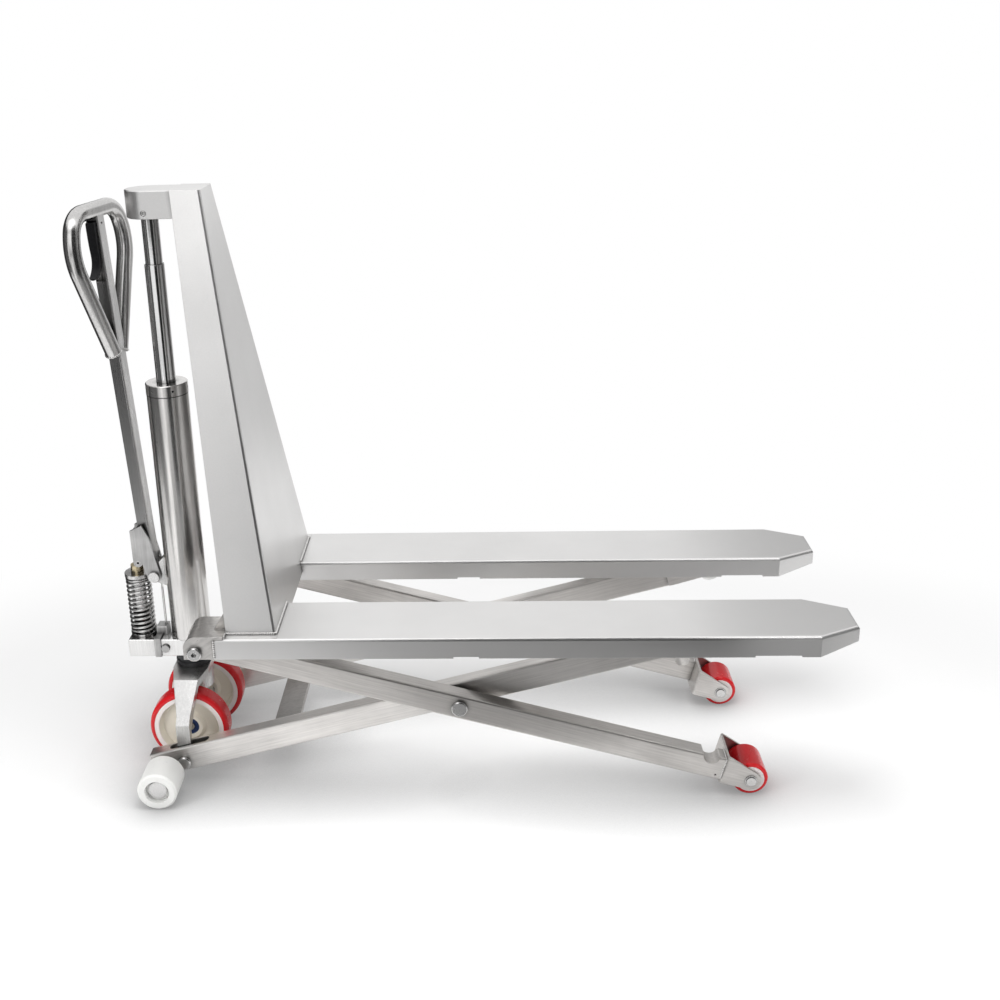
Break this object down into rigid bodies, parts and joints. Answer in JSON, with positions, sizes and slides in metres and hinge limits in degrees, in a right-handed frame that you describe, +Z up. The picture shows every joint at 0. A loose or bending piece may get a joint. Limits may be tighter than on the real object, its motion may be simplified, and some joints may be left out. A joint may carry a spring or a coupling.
{
  "type": "scissor pallet truck",
  "caption": "Stainless scissor pallet truck: forks raised on crossed legs by a telescopic ram, with a pump handle, steering wheels, load rollers and stabiliser rollers.",
  "frame": {"origin": "on the floor, under the middle of the truck's overall length and width", "axes": "+X towards the fork tips, +Y to the left, +Z up"},
  "size_m": [1.5666, 0.558, 1.274],
  "materials": {
    "satin_steel": "satin brushed stainless",
    "blasted_steel": "bead blasted stainless",
    "polished_steel": "polished stainless",
    "chromed_rod": "hard chrome",
    "bright_pins": "turned stainless",
    "spring_wire": "drawn wire",
    "dark_bearing": "oiled dark steel",
    "red_tyre": "red polyurethane",
    "cream_nylon": "moulded nylon",
    "pale_core": "moulded core",
    "white_nylon": "turned nylon",
    "blue_seal": "bearing seal",
    "black_plastic": "moulded black"
  },
  "bodies": {
    "bridge": {"steer_bridge": "satin_steel", "strap_bolts": "bright_pins", "thrust_bearing": "dark_bearing"},
    "steer_unit": {"pump_block": "polished_steel", "ram_barrel": "polished_steel", "barrel_gland": "polished_steel", "king_pin": "satin_steel", "wheel_axle": "bright_pins", "pump_cylinder": "polished_steel", "pump_spring": "spring_wire", "release_valve": "polished_steel", "valve_clip": "polished_steel", "handle_lugs": "polished_steel", "handle_pivot_bolt": "bright_pins"},
    "handle": {"handle_shaft": "polished_steel", "handle_loop": "polished_steel", "handle_clevis": "polished_steel", "pump_roller_pin": "bright_pins", "trigger_pin": "bright_pins"},
    "pump_roller": {"pump_roller": "bright_pins"},
    "trigger": {"release_trigger": "black_plastic"},
    "release_rod": {"release_rod": "bright_pins"},
    "plunger": {"pump_plunger": "polished_steel"},
    "ram_tube": {"ram_tube": "chromed_rod"},
    "inner_legs": {"inner_leg_left": "satin_steel", "inner_leg_right": "satin_steel", "leg_cross_plate": "satin_steel", "slide_arm_left": "satin_steel", "slide_arm_right": "satin_steel", "stabiliser_axles": "bright_pins"},
    "outer_legs": {"outer_leg_left": "satin_steel", "outer_leg_right": "satin_steel", "roller_bracket_left": "satin_steel", "roller_bracket_right": "satin_steel", "centre_bolts": "bright_pins", "load_axles": "bright_pins", "axle_rings": "bright_pins"},
    "fork_frame": {"fork_left": "blasted_steel", "fork_right": "blasted_steel", "load_shield": "blasted_steel", "ram_head": "blasted_steel", "ram_rod": "chromed_rod", "pivot_bracket_left": "satin_steel", "pivot_bracket_right": "satin_steel", "rear_pivot_bolts": "bright_pins"},
    "steer_wheel_left": {"steer_tyre_left": "red_tyre", "steer_rim_left": "cream_nylon", "wheel_bearings_left": "blue_seal"},
    "load_roller_left": {"load_tyre_left": "red_tyre", "load_core_left": "pale_core"},
    "slide_roller_left": {"slide_roller_left": "white_nylon"},
    "stabiliser_left": {"stabiliser_roller_left": "white_nylon"},
    "steer_wheel_right": {"steer_tyre_right": "red_tyre", "steer_rim_right": "cream_nylon", "wheel_bearings_right": "blue_seal"},
    "load_roller_right": {"load_tyre_right": "red_tyre", "load_core_right": "pale_core"},
    "slide_roller_right": {"slide_roller_right": "white_nylon"},
    "stabiliser_right": {"stabiliser_roller_right": "white_nylon"}
  },
  "joints": [
    {"name": "lift", "type": "hinge", "parent": "bridge", "child": "inner_legs", "pos_m": [-0.62973, 0, 0.04842], "axis": [0, -1, 0], "range_deg": [-14.25, 21.08]},
    {"name": "centre_turn", "type": "hinge", "parent": "inner_legs", "child": "outer_legs", "pos_m": [-0.02173, 0, 0.21374], "axis": [0, -1, 0], "range_deg": [-43.55, 29.45]},
    {"name": "rear_turn", "type": "hinge", "parent": "outer_legs", "child": "fork_frame", "pos_m": [-0.55673, 0, 0.369], "axis": [0, -1, 0], "range_deg": [-15.2, 22.47]},
    {"name": "ram_slide", "type": "slide", "parent": "bridge", "child": "ram_tube", "axis": [0, 0, 1], "range_m": [-0.20902, 0.30915]},
    {"name": "steer", "type": "hinge", "parent": "bridge", "child": "steer_unit", "pos_m": [-0.63273, 0, 0], "axis": [0, 0, 1], "range_deg": [-70, 70]},
    {"name": "pump_handle", "type": "hinge", "parent": "steer_unit", "child": "handle", "pos_m": [-0.69873, 0, 0.425], "axis": [0, -1, 0], "range_deg": [0, 65], "stiffness_Nm_per_rad": 30, "springref_deg": -17.19},
    {"name": "plunger_slide", "type": "slide", "parent": "steer_unit", "child": "plunger", "axis": [0, 0, 1], "range_m": [-0.04888, 0.0001], "deforming": ["pump_spring"]},
    {"name": "pump_roller_spin", "type": "hinge", "parent": "handle", "child": "pump_roller", "pos_m": [-0.73173, 0, 0.458], "axis": [0, 1, 0], "continuous": true},
    {"name": "trigger_pull", "type": "hinge", "parent": "handle", "child": "trigger", "pos_m": [-0.7453, 0, 1.206], "axis": [0.9731, -0.225, 0.0493], "range_deg": [0, 12], "stiffness_Nm_per_rad": 2, "springref_deg": -8.59},
    {"name": "release_rod_slide", "type": "slide", "parent": "steer_unit", "child": "release_rod", "axis": [0, 0, 1], "range_m": [-0.0001, 0.00638]},
    {"name": "steer_wheel_left_spin", "type": "hinge", "parent": "steer_unit", "child": "steer_wheel_left", "pos_m": [-0.63273, 0, 0.089], "axis": [0, 1, 0], "continuous": true},
    {"name": "load_roller_left_spin", "type": "hinge", "parent": "outer_legs", "child": "load_roller_left", "pos_m": [0.58727, 0, 0.037], "axis": [0, 1, 0], "continuous": true},
    {"name": "slide_roller_left_spin", "type": "hinge", "parent": "inner_legs", "child": "slide_roller_left", "pos_m": [0.54422, 0, 0.3676], "axis": [0, 1, 0], "continuous": true},
    {"name": "stabiliser_left_spin", "type": "hinge", "parent": "inner_legs", "child": "stabiliser_left", "pos_m": [-0.66573, 0, 0.043], "axis": [0, 1, 0], "continuous": true},
    {"name": "steer_wheel_right_spin", "type": "hinge", "parent": "steer_unit", "child": "steer_wheel_right", "pos_m": [-0.63273, 0, 0.089], "axis": [0, 1, 0], "continuous": true},
    {"name": "load_roller_right_spin", "type": "hinge", "parent": "outer_legs", "child": "load_roller_right", "pos_m": [0.58727, 0, 0.037], "axis": [0, 1, 0], "continuous": true},
    {"name": "slide_roller_right_spin", "type": "hinge", "parent": "inner_legs", "child": "slide_roller_right", "pos_m": [0.54422, 0, 0.3676], "axis": [0, 1, 0], "continuous": true},
    {"name": "stabiliser_right_spin", "type": "hinge", "parent": "inner_legs", "child": "stabiliser_right", "pos_m": [-0.66573, 0, 0.043], "axis": [0, 1, 0], "continuous": true}
  ],
  "couplings": [
    {"joint": "centre_turn", "follows": "lift", "ratio": -2.0635},
    {"joint": "rear_turn", "follows": "lift", "ratio": 1.0635},
    {"joint": "ram_slide", "follows": "lift", "m_per_rad": 0.84},
    {"joint": "plunger_slide", "follows": "pump_handle", "m_per_rad": -0.043},
    {"joint": "release_rod_slide", "follows": "trigger_pull", "m_per_rad": 0.03}
  ]
}
